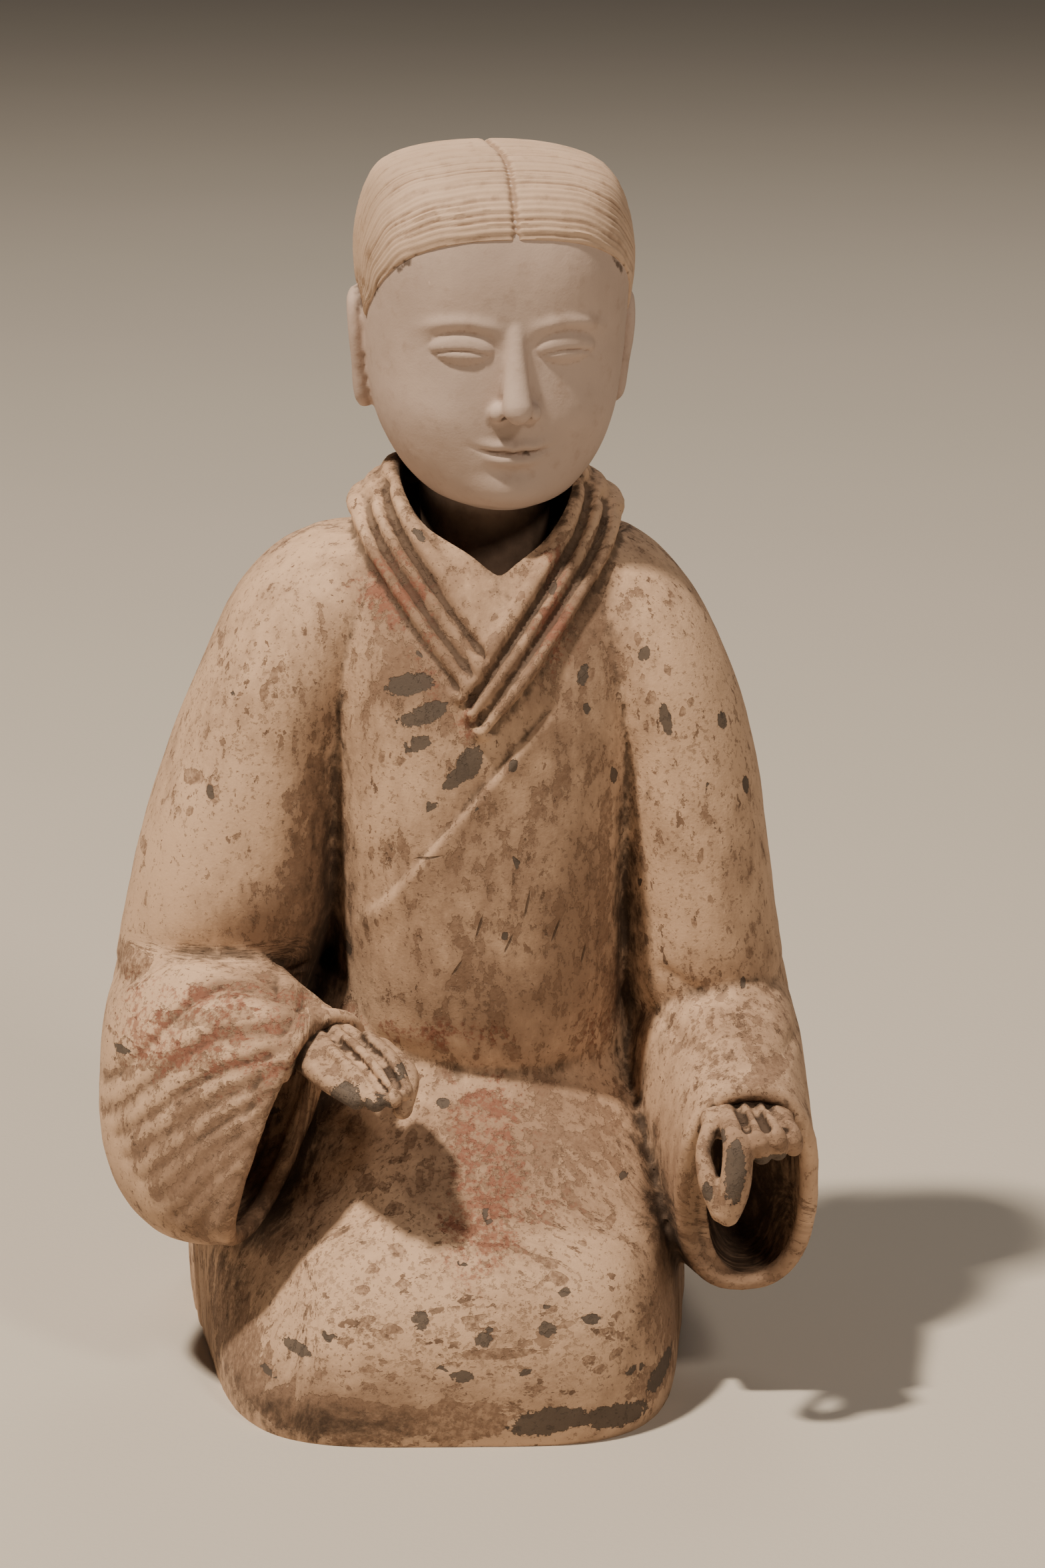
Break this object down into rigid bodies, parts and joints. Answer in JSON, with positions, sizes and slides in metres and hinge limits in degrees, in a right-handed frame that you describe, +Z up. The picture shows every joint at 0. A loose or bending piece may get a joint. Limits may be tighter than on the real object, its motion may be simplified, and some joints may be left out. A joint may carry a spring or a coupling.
{
  "type": "pottery musician figurine",
  "caption": "Kneeling robed musician in slip-painted pottery, wide sleeves hanging from the forearms, both hands held out over the lap, standing on its flat underside",
  "frame": {"origin": "middle of the flat underside, at the height of the surface that the figure stands on", "axes": "+Z up, -Y the way the figure faces, +X to its own left hand"},
  "size_m": [0.1972, 0.1854, 0.34],
  "materials": {
    "aged_slip": "matt fired pottery under a worn cream slip, flaked to grey-brown clay, with traces of red paint; hair and face paler"
  },
  "bodies": {
    "root": {"musician_figurine": "aged_slip"}
  },
  "joints": []
}
